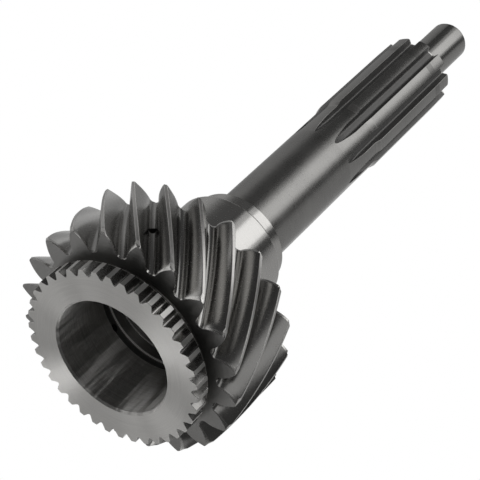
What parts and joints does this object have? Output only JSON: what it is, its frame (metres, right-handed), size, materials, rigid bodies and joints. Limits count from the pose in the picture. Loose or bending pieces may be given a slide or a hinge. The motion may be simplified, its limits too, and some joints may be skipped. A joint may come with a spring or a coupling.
{
  "type": "input shaft",
  "caption": "Steel transmission input shaft with a dog tooth ring, a left-hand helical gear over a blind bore, a bearing journal, a long shank, a splined length and an end pilot.",
  "frame": {"origin": "on the axis, in the end face of the dog ring", "axes": "+Z along the shaft's axis, from the dog ring to the pilot; +X through the middle of a gap between two dog teeth, which is also the middle of a tooth space at the gear's front face"},
  "size_m": [0.0814, 0.0814, 0.2269],
  "materials": {
    "steel": "hardened steel, ground bright on the journal, seat, pilot and dog face, dark satin elsewhere"
  },
  "bodies": {
    "root": {"input_shaft": "steel"}
  },
  "joints": []
}
